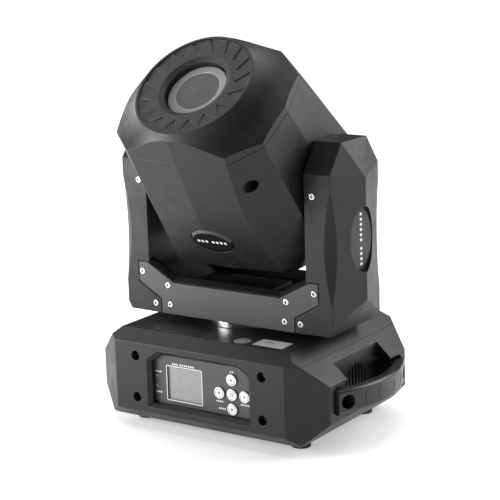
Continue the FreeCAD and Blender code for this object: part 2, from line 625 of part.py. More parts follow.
def bridge_recess():
    """Space cut in the arms for a bridge panel, with a bevel along its edge."""
    pocket = prism(bridge_outline(-ARM_FRONT - 1, BRIDGE_GAP), Y * (BRIDGE_SHEET + 1.1))
    wires = []
    for y, extra in ((-ARM_FRONT - 0.1, BRIDGE_CHAMFER + 0.1), (-ARM_FRONT + BRIDGE_CHAMFER, 0)):
        ring = bridge_outline(y, BRIDGE_GAP + extra)
        wires.append(Part.makePolygon(ring + ring[:1]))
    return pocket.fuse(Part.makeLoft(wires, True, True))


def screw_seat(x, z, depth):
    """Hole for a yoke screw in the front face, with the shallow seat of its head."""
    face = V(x, -ARM_FRONT, z)
    return rod(1.4, face - Y, face + Y * depth).fuse(rod(SINK_R, face - Y, face + Y * SINK_DEPTH))


def arm_cover():
    """Right arm cover: hollow, open towards the head, with a toe that reaches under the bridge panel."""
    outer = rounded(arm_form(), 0.8, lambda middle: middle.x > ARM_INNER + 1)
    shell = outer.cut(arm_form(WALL))
    slant = (BRIDGE_OUT_Z - BRIDGE_STEP_Z) / (BRIDGE_OUT_X - BRIDGE_STEP_X)
    toe_x = BRIDGE_STEP_X + BRIDGE_GAP
    toe_z = BRIDGE_STEP_Z + (ARM_INNER - BRIDGE_STEP_X) * slant
    toe = prism([V(toe_x, -ARM_FRONT, ARM_BOTTOM), V(ARM_INNER, -ARM_FRONT, ARM_BOTTOM),
                 V(ARM_INNER, -ARM_FRONT, toe_z), V(toe_x, -ARM_FRONT, BRIDGE_STEP_Z)], Y * 2 * ARM_FRONT)
    toe = toe.cut(box(0, 150, -ARM_FRONT + WALL, ARM_FRONT - WALL, ARM_BOTTOM + WALL, 200))
    backing = arm_badge_oval(-2.2, ARM_BADGE_X - 2.2, ARM_RIDGE).common(arm_form())
    cuts = [bridge_recess()] + [screw_seat(x, z, 6) for x, z in YOKE_SCREWS]
    cuts += [mirror_y(cut) for cut in cuts]
    cuts.append(arm_badge_oval(0, ARM_BADGE_X, 150))
    return shell.fuse([toe, backing]).cut(cuts).removeSplitter()


def bridge_panels():
    panel = prism(bridge_outline(-ARM_FRONT), Y * BRIDGE_SHEET)
    for x, z in YOKE_SCREWS[:3]:
        panel = panel.cut(both_x(screw_seat(x, z, 6)))
    return [panel, mirror_y(panel)]


def yoke_screws():
    screws = []
    for x, z in YOKE_SCREWS:
        front = cross_screw(V(x, -ARM_FRONT + SINK_DEPTH, z), -Y, SCREW_R, length=6)
        screws += four_ways(front)
    return screws


def tray_band(y0, y1, low, high):
    """Strip that follows the dipped top edge of the bridge, between two heights above it."""
    end, dip = ARM_INNER - 0.3, BRIDGE_DIP_X
    points = []
    for level, order in ((high, 1), (low, -1)):
        line = [V(-end, y0, BRIDGE_TOP_Z + level), V(-dip, y0, BRIDGE_DIP_Z + level),
                V(dip, y0, BRIDGE_DIP_Z + level), V(end, y0, BRIDGE_TOP_Z + level)]
        points += line[::order]
    return prism(points, Y * (y1 - y0))


def yoke_tray():
    """Dark moulding between the arms: a floor with a low hump, and a bevelled lip along each panel."""
    front, back = ARM_FRONT, ARM_FRONT - BRIDGE_SHEET
    floor = tray_band(-back, back, -TRAY_DROP - WALL, -TRAY_DROP)
    full = tray_band(-back, -front + LIP + 2.5, -TRAY_DROP - WALL, LIP)
    full = full.fuse(tray_band(-front, -back, BRIDGE_GAP - LIP_FRONT, LIP))
    edge_line = V(ARM_INNER - BRIDGE_DIP_X, 0, BRIDGE_TOP_Z - BRIDGE_DIP_Z).normalize()
    sides = [beyond(V(s * BRIDGE_DIP_X, 0, 0), V(s, 0, 0)) for s in (-1, 1)]
    lips = [trim(full.cut(sides), V(0, -front, BRIDGE_DIP_Z), V(0, -1, 1))]
    for s, side in zip((-1, 1), sides):
        run = V(s * edge_line.x, 0, edge_line.z)
        rise = V(-s * edge_line.z, 0, edge_line.x) + Y
        lips.append(trim(full.common(side), V(s * BRIDGE_DIP_X, -front, BRIDGE_DIP_Z), run.cross(rise) * s))
    hump = box(-38, 38, -22, 22, BRIDGE_DIP_Z - TRAY_DROP - 1, BRIDGE_DIP_Z - TRAY_DROP + 3.4)
    hump = rounded(hump, 3.0, lambda middle: middle.z > BRIDGE_DIP_Z - TRAY_DROP)
    body = floor.fuse([hump] + lips + [mirror_y(item) for item in lips])
    screw_x, screw_z = YOKE_SCREWS[1]
    screw_holes = four_ways(rod(1.4, V(screw_x, -60, screw_z), V(screw_x, -30, screw_z)))
    return body.removeSplitter().cut(screw_holes)


def yoke_frame():
    """Steel U: a floor plate over the pan shaft and two uprights that carry the tilt bearings."""
    floor = box(-ARM_INNER - SHEET, ARM_INNER + SHEET, -40, 40, FRAME_Z, FRAME_Z + SHEET)
    upright = arm_form(WALL + FIT).common(box(ARM_INNER, ARM_INNER + SHEET, -60, 60, FRAME_Z, 400))
    upright = upright.cut(rod(TILT_BEARING_R, V(0, 0, PIVOT_Z), V(150, 0, PIVOT_Z)))
    body = floor.fuse(both_x(upright))
    body = body.cut(rod(SHAFT_BORE, V(0, 0, FRAME_Z - 1), V(0, 0, FRAME_Z + 4)))
    for step in range(4):
        angle = math.radians(45 + 90 * step)
        spot = V(28 * math.cos(angle), 28 * math.sin(angle), FRAME_Z - 1)
        body = body.cut(rod(2.2, spot, spot + Z * 5))
    return body.removeSplitter()


def pan_shaft():
    """Hollow shaft with a polished collar and a flange under the yoke frame; it carries the pan pulley."""
    flange_low = COLLAR_HIGH
    body = tube(SHAFT_R, SHAFT_BORE, V(0, 0, BASE_TOP - 13.5), V(0, 0, flange_low))
    collar = tube(COLLAR_R, SHAFT_BORE, V(0, 0, COLLAR_LOW), V(0, 0, COLLAR_HIGH))
    collar = rounded(collar, 0.8, lambda middle: middle.z > COLLAR_HIGH - 0.1)
    flange = tube(34.0, SHAFT_BORE, V(0, 0, flange_low), V(0, 0, FRAME_Z))
    spigot = tube(22.0, SHAFT_BORE, V(0, 0, PAN_BELT_Z[0] - 4), V(0, 0, BASE_TOP - 13.5))
    body = body.fuse([flange, spigot, collar])
    for step in range(4):
        angle = math.radians(45 + 90 * step)
        spot = V(28 * math.cos(angle), 28 * math.sin(angle), COLLAR_LOW - 1)
        body = body.cut(rod(2.2, spot, spot + Z * 11))
    return body.removeSplitter()


def pan_pulley():
    wheel = pulley(PAN_PULLEY_R, 22.0, PAN_BELT_Z[1] - PAN_BELT_Z[0] - 1, 1.6)
    wheel.translate(V(0, 0, PAN_BELT_Z[0]))
    return wheel


def along_minus_x(shape, start_x, z):
    """Lay a shape drawn along +Z along -X, starting at a place on the arm."""
    shape.Placement = FreeCAD.Placement(V(-start_x, 0, z), FreeCAD.Rotation(Z, -X))
    return shape


def tilt_motor():
    motor = square_motor(21.1, 17.0, 2.5, TILT_BELT_X[1] - TILT_MOTOR_FACE + 1, 6)
    return along_minus_x(motor, TILT_MOTOR_FACE, TILT_MOTOR_Z)


def tilt_motor_pulley():
    wheel = pulley(MOTOR_PULLEY_R, 2.5 + RUN, TILT_BELT_X[1] - TILT_BELT_X[0] - 1, 1.2)
    return along_minus_x(wheel, TILT_BELT_X[0] + 1, TILT_MOTOR_Z)


def tilt_belt():
    belt = belt_loop(TILT_PULLEY_R, MOTOR_PULLEY_R, PIVOT_Z - TILT_MOTOR_Z, 4.0)
    turn = FreeCAD.Rotation(V(0, 0, -1), V(0, -1, 0), V(-1, 0, 0), "ZXY")
    belt.Placement = FreeCAD.Placement(V(-TILT_BELT_X[0] - 1.5, 0, PIVOT_Z), turn)
    return belt


def tilt_bearings():
    return both_x(tube(TILT_BEARING_R, AXLE_R + RUN, V(ARM_INNER, 0, PIVOT_Z), V(ARM_INNER + 8, 0, PIVOT_Z)))


# ---- head, drawn upright about its tilt axis ----
def head_wire(section, inset=0.0):
    level, flat_x, flat_y, crease_y, corner_x, corner_y, side_x = section
    flat = V(flat_x - inset * 0.7, flat_y - inset, level)
    corner = V(corner_x - inset, corner_y - inset * 0.6, level)
    quarter = [flat, corner, V(side_x - inset, 0, level)]
    right = quarter + [V(point.x, -point.y, level) for point in reversed(quarter[:2])]
    left = [V(-point.x, point.y, level) for point in reversed(right)]
    ring = [V(0, crease_y - inset, level)] + right + [V(0, -crease_y + inset, level)] + left
    return Part.makePolygon(ring + ring[:1])


def head_form(inset=0.0):
    return Part.makeLoft([head_wire(section, inset) for section in HEAD_SECTIONS], True, False)


def crown(inset=0.0):
    """Round body whose flared top meets the eight-sided head in scallops."""
    rim = V(RIM_R - inset, 0, RIM_L)
    middle = V(CROWN_MID[0] - inset, 0, CROWN_MID[1] - inset * 0.6)
    low = V(CROWN_LOW[0] - inset * 0.6, 0, CROWN_LOW[1] - inset)
    end = V(CROWN_END[0], 0, CROWN_END[1] - inset)
    edges = [Part.Arc(rim, middle, low).toShape(), Part.LineSegment(low, end).toShape()]
    corners = [end, V(end.x, 0, -200), V(0, 0, -200), V(0, 0, RIM_L), rim]
    for start, stop in zip(corners, corners[1:]):
        edges.append(Part.LineSegment(start, stop).toShape())
    return Part.Face(Part.Wire(edges)).revolve(CENTRE, Z, 360)


def slab(low, high):
    return box(-200, 200, -200, 200, low, high)


def head_front_cover(outer, inner):
    body = outer.common(slab(FRONT_SEAM + SEAM / 2, 200)).common(crown())
    hollow = inner.common(crown(WALL)).common(slab(0, DISC_L - DISC_THICK - 1.5))
    body = body.cut(hollow)
    body = body.cut(rod(DISC_R + FIT, V(0, 0, DISC_L - DISC_THICK), V(0, 0, 140)))
    return body.cut(rod(WELL_R + 4, V(0, 0, 100), V(0, 0, 140)))


def front_disc():
    """Grooved front disc with a stepped well in its middle."""
    low = DISC_L - DISC_THICK
    body = turned([(WELL_R, DISC_L), (DISC_R, DISC_L), (DISC_R, low), (WELL_NECK_R + 2.2, low),
                   (WELL_NECK_R + 2.2, WELL_L), (WELL_NECK_R, WELL_L), (WELL_NECK_R, DISC_L - WELL_BEVEL)])
    step = math.radians(360.0 / GROOVES)
    for index in range(GROOVES):
        body = body.cut(groove_wedge(index * step, step))
    return body


def groove_wedge(angle, step):
    """Triangular facet that sinks from nothing at one corner to full depth along its opposite edge."""
    def spot(radius, turn, drop):
        return V(radius * math.cos(turn), radius * math.sin(turn), DISC_L + drop)
    top = 2.0
    edge_out, edge_in, far = (GROOVE_OUT, angle), (GROOVE_IN, angle - step / 2), (GROOVE_OUT, angle - step)
    upper = [spot(*edge_out, top), spot(*edge_in, top), spot(*far, top)]
    lower = [spot(*edge_out, -GROOVE_DEEP), spot(*edge_in, -GROOVE_DEEP), spot(*far, 0)]
    faces = [Part.Face(Part.makePolygon(ring + ring[:1])) for ring in (
        upper, lower, [upper[0], upper[1], lower[1], lower[0]], [upper[1], upper[2], lower[2], lower[1]],
        [upper[2], upper[0], lower[0], lower[2]])]
    return Part.Solid(Part.Shell(faces))


def lens_ring():
    return turned([(LENS_R, LENS_L), (RING_R - 0.8, LENS_L + 0.6), (RING_R, LENS_L), (RING_R, WELL_L),
                   (WELL_NECK_R + 2.2, WELL_L), (WELL_NECK_R + 2.2, WELL_L - 3), (LENS_R - 1.5, WELL_L - 3),
                   (LENS_R - 1.5, WELL_L - 0.5), (LENS_R, WELL_L - 0.5)])


def front_lens():
    low, rim = WELL_L - 0.5, LENS_L - 0.4
    dome = Part.Arc(V(0, 0, LENS_L - 0.2), V(LENS_R / 2, 0, LENS_L - 0.5), V(LENS_R, 0, rim)).toShape()
    corners = [V(LENS_R, 0, rim), V(LENS_R, 0, low), V(0, 0, low), V(0, 0, LENS_L - 0.2)]
    edges = [dome] + [Part.LineSegment(a, b).toShape() for a, b in zip(corners, corners[1:])]
    return Part.Face(Part.Wire(edges)).revolve(CENTRE, Z, 360)


def head_badge_wire(shrink, y):
    """Oval outline on the flat at -Y."""
    return oval_wire(V(0, -y, HEAD_BADGE_L), -Y, HEAD_BADGE_HALF_X - shrink, HEAD_BADGE_HALF_L - shrink, X)


def head_badge_oval(shrink, y0, y1):
    return Part.Face(head_badge_wire(shrink, y0)).extrude(-Y * (y1 - y0))


def head_shell(outer, inner, has_wells):
    """Half shell at -Y. Two pillars meet those of the other half; one half has the screws' wells."""
    seam_low, seam_high = FRONT_SEAM - SEAM / 2, FRONT_SEAM + SEAM / 2
    half = box(-200, 200, -200, -SEAM / 2, REAR_SEAM, seam_low)
    flats = box(-FLAT_SEAM_X, FLAT_SEAM_X, -200, -50, seam_low, seam_high - FLAT_SEAM)
    skin = outer.common(half.fuse(flats))
    body = skin.cut(inner)
    badge_back = head_badge_oval(-2.2, HEAD_BADGE_Y - 2.2, HEAD_BADGE_Y + 8).common(skin)
    adds, cuts = [badge_back], [head_badge_oval(0, HEAD_BADGE_Y, HEAD_BADGE_Y + 10)]
    for x in (-CORNER_HOLE_X, CORNER_HOLE_X):
        axis = V(x, 0, CORNER_HOLE_L)
        adds.append(rod(PILLAR_R, axis - Y * 100, axis).common(skin))
        if has_wells:
            well = rod(CORNER_HOLE_R + WALL, axis - Y * 100, axis - Y * (CORNER_SEAT_Y - WALL))
            adds.append(well.common(skin))
            cuts.append(rod(CORNER_HOLE_R, axis - Y * 100, axis - Y * CORNER_SEAT_Y))
            cuts.append(rod(2.0, axis - Y * 100, axis))
        else:
            cuts.append(rod(2.0, axis - Y * 16, axis))
    cuts.append(rod(AXLE_R + 3, V(-200, 0, 0), V(200, 0, 0)))
    return body.fuse(adds).cut(cuts)


def head_screws():
    seat = V(CORNER_HOLE_X, -CORNER_SEAT_Y, CORNER_HOLE_L)
    return both_x(cross_screw(seat, -Y, 4.4, 2.6, 1.9, CORNER_SEAT_Y + 12))


def head_badges():
    """Raised ovals with a sloping rim."""
    foot, top = HEAD_BADGE_Y + 0.8, HEAD_BADGE_Y + HEAD_BADGE_RISE
    rim = Part.makeLoft([head_badge_wire(0.5, foot), head_badge_wire(HEAD_BADGE_RIM, top)], True, True)
    badge = head_badge_oval(0.5, HEAD_BADGE_Y, foot).fuse(rim)
    return [badge, mirror_y(badge)]


def tail_form(inset=0.0):
    start = list(HEAD_SECTIONS[0])
    start[0] = REAR_SEAM
    end = list(TAIL_SECTION)
    end[0] = TAIL_L + inset
    return Part.makeLoft([head_wire(start, inset), head_wire(end, inset)], True, True)


def head_rear_cover():
    body = tail_form().common(slab(-200, REAR_SEAM - SEAM))
    body = rounded(body, 1.2, lambda middle: middle.z < TAIL_L + 1)
    body = body.cut(tail_form(WALL))
    cuts = []
    for step in range(-4, 5):
        x = step * 7.6
        reach = math.sqrt((FAN_R - 1) ** 2 - x ** 2)
        cuts.append(box(x - 2, x + 2, -reach, reach, TAIL_L - 2, TAIL_L + 5))
    for step in range(-4, 5):
        cuts.append(box(step * 10 - 2.2, step * 10 + 2.2, -100, 100, TAIL_L + 14, TAIL_L + 40))
    return body.cut(cuts)


def tilt_axles():
    """Two hollow axles with flanges that bolt to the chassis; the left one also carries the tilt pulley."""
    solids = []
    for side, end in ((1, ARM_INNER + 10), (-1, TILT_BELT_X[1] + 0.5)):
        axle = tube(AXLE_R, AXLE_BORE, X * side * CHASSIS_X, X * side * end)
        flange = tube(22.0, AXLE_BORE, X * side * CHASSIS_X, X * side * (CHASSIS_X + 4))
        solids.append(axle.fuse(flange).removeSplitter())
    return solids


def tilt_pulley():
    wheel = pulley(TILT_PULLEY_R, AXLE_R, TILT_BELT_X[1] - TILT_BELT_X[0] - 1, 1.2)
    wheel = wheel.cut([tube(26, 16, V(0, 0, 2), V(0, 0, 20))])
    wheel.Placement = FreeCAD.Placement(V(-TILT_BELT_X[0] - 1, 0, 0), FreeCAD.Rotation(Z, -X))
    return wheel


def head_chassis():
    """Bent sheet frame with its cross plates, and the two guide rods of the focus carriage."""
    outer = box(-CHASSIS_X, CHASSIS_X, -CHASSIS_Y, CHASSIS_Y, CHASSIS_LOW, CHASSIS_HIGH)
    body = outer.cut(box(-CHASSIS_X + SHEET, CHASSIS_X - SHEET, -100, 100, CHASSIS_LOW + SHEET,
                         CHASSIS_HIGH - SHEET))
    body = body.cut([rod(27, V(0, 0, 50), V(0, 0, 100)), rod(16, V(0, 0, -60), V(0, 0, 0))])
    body = body.cut([rod(AXLE_BORE, V(-100, 0, 0), V(100, 0, 0))])
    shelf = box(-CHASSIS_X + SHEET, CHASSIS_X - SHEET, -14, 14, 26, 28).cut(rod(13, V(0, 0, 20), V(0, 0, 30)))
    guides = both_x(rod(ROD_R, V(ROD_X, 0, 28), V(ROD_X, 0, CHASSIS_HIGH - SHEET)))
    screw_hole = rod(5, V(FOCUS_SCREW_X, 0, 20), V(FOCUS_SCREW_X, 0, 30))
    return body.fuse([shelf.cut(screw_hole)] + guides).removeSplitter()


def led_engine():
    """Light source on its board with the condenser lens barrel in front."""
    board = box(-24, 24, -24, 24, CHASSIS_LOW - 2, CHASSIS_LOW)
    barrel = tube(15.8, 13, V(0, 0, CHASSIS_LOW), V(0, 0, -6))
    lens = rod(13, V(0, 0, -14), V(0, 0, -8))
    chip = box(-9, 9, -9, 9, CHASSIS_LOW, CHASSIS_LOW + 1.5)
    return board.fuse([barrel, lens, chip]).removeSplitter()


def heatsink():
    high = CHASSIS_LOW - 2
    body = box(-44, 44, -36, 36, high - 7, high)
    fins = [box(x - 0.9, x + 0.9, -36, 36, high - 40, high - 6) for x in range(-42, 43, 7)]
    return body.fuse(fins).removeSplitter()


def head_fan_frame():
    frame = box(-40, 40, -40, 40, FAN_L, FAN_L + 14)
    frame = frame.cut(rod(FAN_R + 1.5, V(0, 0, FAN_L - 1), V(0, 0, FAN_L + 16)))
    low, high = FAN_L + 12, FAN_L + 14
    spider = [rod(13, V(0, 0, low), V(0, 0, high)), box(-38.5, 38.5, -2, 2, low, high),
              box(-2, 2, -38.5, 38.5, low, high)]
    return frame.fuse(spider).removeSplitter()


def fan_blade(angle):
    low = [V(11.5, -1, 0), V(FAN_R, -6, 0), V(FAN_R, -4.6, 0), V(11.5, 0.4, 0)]
    high = [V(11.5, 3, 9), V(FAN_R, 7, 9), V(FAN_R, 8.4, 9), V(11.5, 4.4, 9)]
    blade = Part.makeLoft([Part.makePolygon(ring + ring[:1]) for ring in (low, high)], True, True)
    blade.rotate(CENTRE, Z, angle)
    blade.translate(V(0, 0, FAN_L + 1.5))
    return blade


def head_fan_rotor():
    hub = Part.makeCylinder(13, 10.5, V(0, 0, FAN_L + 1))
    return hub.fuse([fan_blade(step * 360.0 / 7) for step in range(7)]).removeSplitter()


def filter_wheel(centre_y, level, openings, opening_r):
    """Wheel of colour or pattern openings, one of which is on the optical axis."""
    centre = V(0, centre_y, level)
    wheel = rod(WHEEL_R, centre, centre + Z * 1.5).fuse(rod(7, centre, centre + Z * 3))
    start = -90 if centre_y > 0 else 90
    cuts = [rod(2.5, centre - Z, centre + Z * 5)]
    for step in range(openings):
        angle = math.radians(start + step * 360.0 / openings)
        spot = centre + V(abs(centre_y) * math.cos(angle), abs(centre_y) * math.sin(angle), -1)
        if (spot - centre).Length + opening_r < WHEEL_R:
            cuts.append(rod(opening_r, spot, spot + Z * 4))
    return wheel.cut(cuts)


def head_motors():
    """Colour motor behind its wheel, gobo motor in front of its wheel, and focus motor on the front plate."""
    colour = rod(14, V(0, COLOUR_WHEEL_Y, -14), V(0, COLOUR_WHEEL_Y, 5)).fuse(
        rod(2.45, V(0, COLOUR_WHEEL_Y, 4), V(0, COLOUR_WHEEL_Y, COLOUR_WHEEL_L + 3)))
    gobo = rod(14, V(0, GOBO_WHEEL_Y, 22), V(0, GOBO_WHEEL_Y, 40)).fuse(
        rod(2.45, V(0, GOBO_WHEEL_Y, GOBO_WHEEL_L), V(0, GOBO_WHEEL_Y, 23)))
    focus = rod(8.5, V(FOCUS_SCREW_X, 0, 6), V(FOCUS_SCREW_X, 0, 25.5))
    return [colour, gobo, focus]


def focus_carriage():
    plate = box(-ROD_X - 7, ROD_X + 7, -30, 30, FOCUS_L - 1.5, FOCUS_L + 1.5)
    plate = plate.cut(four_ways(box(34, 80, 12, 40, 0, 90)))
    bosses = both_x(rod(7, V(ROD_X, 0, FOCUS_L - 7), V(ROD_X, 0, FOCUS_L + 7)))
    nut = rod(6, V(FOCUS_SCREW_X, 0, FOCUS_L - 5), V(FOCUS_SCREW_X, 0, FOCUS_L + 5))
    body = plate.fuse(bosses + [nut])
    body = body.cut(both_x(rod(ROD_R + RUN, V(ROD_X, 0, 0), V(ROD_X, 0, 90))))
    body = body.cut(rod(2.5 + RUN, V(FOCUS_SCREW_X, 0, 0), V(FOCUS_SCREW_X, 0, 90)))
    return body.cut(rod(FOCUS_LENS_R, V(0, 0, 0), V(0, 0, 90))).removeSplitter()


def focus_lens():
    high, low = FOCUS_L + 4, FOCUS_L - 2
    crown_point = V(FOCUS_LENS_R * 0.52, 0, high - 1.1)
    arc = Part.Arc(V(0, 0, high), crown_point, V(FOCUS_LENS_R, 0, FOCUS_L)).toShape()
    corners = [V(FOCUS_LENS_R, 0, FOCUS_L), V(FOCUS_LENS_R, 0, low), V(0, 0, low), V(0, 0, high)]
    edges = [arc] + [Part.LineSegment(a, b).toShape() for a, b in zip(corners, corners[1:])]
    return Part.Face(Part.Wire(edges)).revolve(CENTRE, Z, 360)


def focus_screw():
    low, high = V(FOCUS_SCREW_X, 0, 25.6), V(FOCUS_SCREW_X, 0, CHASSIS_HIGH - SHEET - 1)
    return rod(2.5, low, high).fuse(rod(4, low, low + Z * 4))


def lean(shape):
    """Bring a piece of the upright head to its resting place between the arms."""
    items = shape if isinstance(shape, list) else [shape]
    for item in items:
        item.rotate(CENTRE, X, REST_LEAN)
        item.translate(V(0, 0, PIVOT_Z))
    return shape


def build_base():
    outer = soft_base_form()
    cheek = base_cheek(outer)
    grip = handle()
    save("base_housing", base_housing(outer))
    save("base_cheek_right", cheek)
    save("base_cheek_left", mirror_x(cheek))
    save("handle_right", grip)
    save("handle_left", mirror_x(grip))
    save("bottom_plate", bottom_plate())
    save("rubber_feet", rubber_feet())
    save("base_screws", base_screws())
    save("control_panel", control_panel())
    save("display_window", display_window())
    save("indicator_lamps", indicator_lamps())
    save("circuit_boards", circuit_boards())
    turns = {"button_up": 90, "button_down": -90, "button_left": 180, "button_right": 0}
    for name, (x, z) in button_places().items():
        save(name, button(x, z, turns.get(name)))
    save("rear_panel", rear_panel())
    save("power_inlet", power_inlet())
    save("dmx_sockets", dmx_sockets())
    save("power_supply", power_supply())
    save("pan_motor", pan_motor())
    save("pan_motor_pulley", pan_motor_pulley())
    save("pan_belt", pan_belt())
    save("pan_bearing", pan_bearing())


def build_yoke():
    arm = arm_cover()
    badge = arm_badge_oval(1.3, ARM_BADGE_X, ARM_BADGE_X + 1.0)
    save("arm_cover_right", arm)
    save("arm_cover_left", mirror_x(arm))
    save("arm_badges", both_x(badge))
    save("bridge_panels", bridge_panels())
    save("yoke_screws", yoke_screws())
    save("yoke_tray", yoke_tray())
    save("yoke_frame", yoke_frame())
    save("pan_shaft", pan_shaft())
    save("pan_pulley", pan_pulley())
    save("tilt_motor", tilt_motor())
    save("tilt_motor_pulley", tilt_motor_pulley())
    save("tilt_belt", tilt_belt())
    save("tilt_bearings", tilt_bearings())


def build_head():
    outer, inner = head_form(), head_form(WALL)
    save("head_shell_upper", lean(mirror_y(head_shell(outer, inner, False))))
    save("head_shell_lower", lean(head_shell(outer, inner, True)))
    save("head_front_cover", lean(head_front_cover(outer, inner)))
    save("head_rear_cover", lean(head_rear_cover()))
    save("front_disc", lean(front_disc()))
    save("lens_ring", lean(lens_ring()))
    save("front_lens", lean(front_lens()))
    save("head_badges", lean(head_badges()))
    save("head_screws", lean(head_screws()))
    save("tilt_axles", lean(tilt_axles()))
    save("tilt_pulley", lean(tilt_pulley()))
    save("head_chassis", lean(head_chassis()))
    save("led_engine", lean(led_engine()))
    save("heatsink", lean(heatsink()))
    save("head_fan_frame", lean(head_fan_frame()))
    save("head_fan_rotor", lean(head_fan_rotor()))
    save("head_motors", lean(head_motors()))
    save("colour_wheel", lean(filter_wheel(COLOUR_WHEEL_Y, COLOUR_WHEEL_L, 8, 5.8)))
    save("gobo_wheel", lean(filter_wheel(GOBO_WHEEL_Y, GOBO_WHEEL_L, 8, 5.8)))
    save("focus_carriage", lean(focus_carriage()))
    save("focus_lens", lean(focus_lens()))
    save("focus_screw", lean(focus_screw()))


os.makedirs("parts", exist_ok=True)
build_base()
build_yoke()
build_head()
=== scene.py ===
import math

import bmesh
import bpy
from mathutils import Matrix, Vector


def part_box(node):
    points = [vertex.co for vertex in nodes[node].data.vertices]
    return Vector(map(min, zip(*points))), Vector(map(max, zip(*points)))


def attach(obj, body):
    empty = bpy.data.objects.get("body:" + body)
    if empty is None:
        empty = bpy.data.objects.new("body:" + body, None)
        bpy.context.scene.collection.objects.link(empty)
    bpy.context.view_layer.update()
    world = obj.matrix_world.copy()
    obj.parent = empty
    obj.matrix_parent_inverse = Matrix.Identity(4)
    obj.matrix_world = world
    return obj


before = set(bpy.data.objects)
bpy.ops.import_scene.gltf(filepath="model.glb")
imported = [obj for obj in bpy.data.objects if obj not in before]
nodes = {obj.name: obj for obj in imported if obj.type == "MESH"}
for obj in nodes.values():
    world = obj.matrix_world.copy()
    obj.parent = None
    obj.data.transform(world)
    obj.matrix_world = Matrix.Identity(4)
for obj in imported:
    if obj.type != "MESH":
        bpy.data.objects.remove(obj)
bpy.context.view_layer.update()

MM = 0.001
X, Y, Z = Vector((1, 0, 0)), Vector((0, 1, 0)), Vector((0, 0, 1))
scene = bpy.context.scene

# ---------------------------------------------------------------- materials
GLASS_IOR = PLASTIC_IOR = 1.5
NOISE_RANGE = (0.3, 0.7)                # where nearly all of a noise texture's values lie
EDGE_COSINES = (0.995, 0.80)            # rounded against true normal: flat face, sharp edge
OPEN_SKY = (0.92, 0.72)                 # share of open surroundings: flat face, deep slot
PLASTIC_EDGE_R, METAL_EDGE_R = 0.0006, 0.0003
COAT_EDGE_R, RUBBER_EDGE_R = 0.0004, 0.0005
PLASTIC_CLOUD = 0.12                    # share by which plastic's shade drifts over a part
COAT_EDGE_LEVEL = 2.2                   # how much paler a rubbed edge of powder coat is
RUBBER_ROUGHNESS = 0.85
SCREW_SLOT_SHADE = 0.0016                     # reach of the painted shade in the screws' slots
PALE_PAD = (0.4, 0.38, 0.3, 1)
DISPLAY_CELL, DISPLAY_CELL_PALE, DISPLAY_GRID = 0.29, 0.30, 0.26


class Graph:
    """Small helper that adds shader nodes and joins them."""

    def __init__(self, name):
        self.material = bpy.data.materials.new(name)
        self.material.use_nodes = True
        self.tree = self.material.node_tree
        self.tree.nodes.clear()
        out = self.tree.nodes.new("ShaderNodeOutputMaterial")
        self.shader = self.tree.nodes.new("ShaderNodeBsdfPrincipled")
        self.join(self.shader.outputs[0], out.inputs["Surface"])
        coords = self.tree.nodes.new("ShaderNodeTexCoord")
        self.place = coords.outputs["Object"]

    def join(self, source, target):
        self.tree.links.new(source, target)

    def feed(self, socket, value):
        if isinstance(value, bpy.types.NodeSocket):
            self.join(value, socket)
        else:
            socket.default_value = value

    def node(self, kind, **settings):
        made = self.tree.nodes.new(kind)
        for key, value in settings.items():
            setattr(made, key, value)
        return made

    def noise(self, scale, detail=2.0, rough=0.5):
        made = self.node("ShaderNodeTexNoise")
        self.join(self.place, made.inputs["Vector"])
        made.inputs["Scale"].default_value = scale
        made.inputs["Detail"].default_value = detail
        made.inputs["Roughness"].default_value = rough
        return made.outputs["Fac"]

    def math(self, operation, a, b, clamp=False):
        made = self.node("ShaderNodeMath", operation=operation, use_clamp=clamp)
        self.feed(made.inputs[0], a)
        self.feed(made.inputs[1], b)
        return made.outputs[0]

    def span(self, value, low, high, to_low, to_high, smooth=False):
        made = self.node("ShaderNodeMapRange")
        made.interpolation_type = "SMOOTHSTEP" if smooth else "LINEAR"
        self.feed(made.inputs["Value"], value)
        made.inputs["From Min"].default_value = low
        made.inputs["From Max"].default_value = high
        made.inputs["To Min"].default_value = to_low
        made.inputs["To Max"].default_value = to_high
        return made.outputs["Result"]

    def vary(self, noise, to_low, to_high):
        """A noise's usual range spread over the range given."""
        return self.span(noise, *NOISE_RANGE, to_low, to_high)

    def mix(self, factor, a, b):
        made = self.node("ShaderNodeMix", data_type="RGBA")
        factor_in, a_in, b_in = (made.inputs[i] for i in (0, 6, 7))  # the colour sockets
        self.feed(factor_in, factor)
        self.feed(a_in, a)
        self.feed(b_in, b)
        return made.outputs[2]

    def edge(self, radius):
        """Near 1 on sharp edges and 0 on flat faces, with the softened normal."""
        soft = self.node("ShaderNodeBevel", samples=6)
        soft.inputs["Radius"].default_value = radius
        plain = self.node("ShaderNodeNewGeometry")
        dot = self.node("ShaderNodeVectorMath", operation="DOT_PRODUCT")
        self.join(soft.outputs["Normal"], dot.inputs[0])
        self.join(plain.outputs["Normal"], dot.inputs[1])
        return self.span(dot.outputs["Value"], *EDGE_COSINES, 0.0, 1.0), soft.outputs["Normal"]

    def sunken(self, reach):
        """Near 1 deep in slots and holes of the node itself."""
        cover = self.node("ShaderNodeAmbientOcclusion", samples=8, only_local=True)
        cover.inputs["Distance"].default_value = reach
        return self.span(cover.outputs["AO"], *OPEN_SKY, 0.0, 1.0)

    def bump(self, height, strength, distance, normal=None):
        made = self.node("ShaderNodeBump")
        made.inputs["Strength"].default_value = strength
        made.inputs["Distance"].default_value = distance
        self.feed(made.inputs["Height"], height)
        if normal is not None:
            self.join(normal, made.inputs["Normal"])
        return made.outputs["Normal"]

    def set(self, name, value):
        self.feed(self.shader.inputs[name], value)


def grey(level):
    return (level, level, level, 1.0)


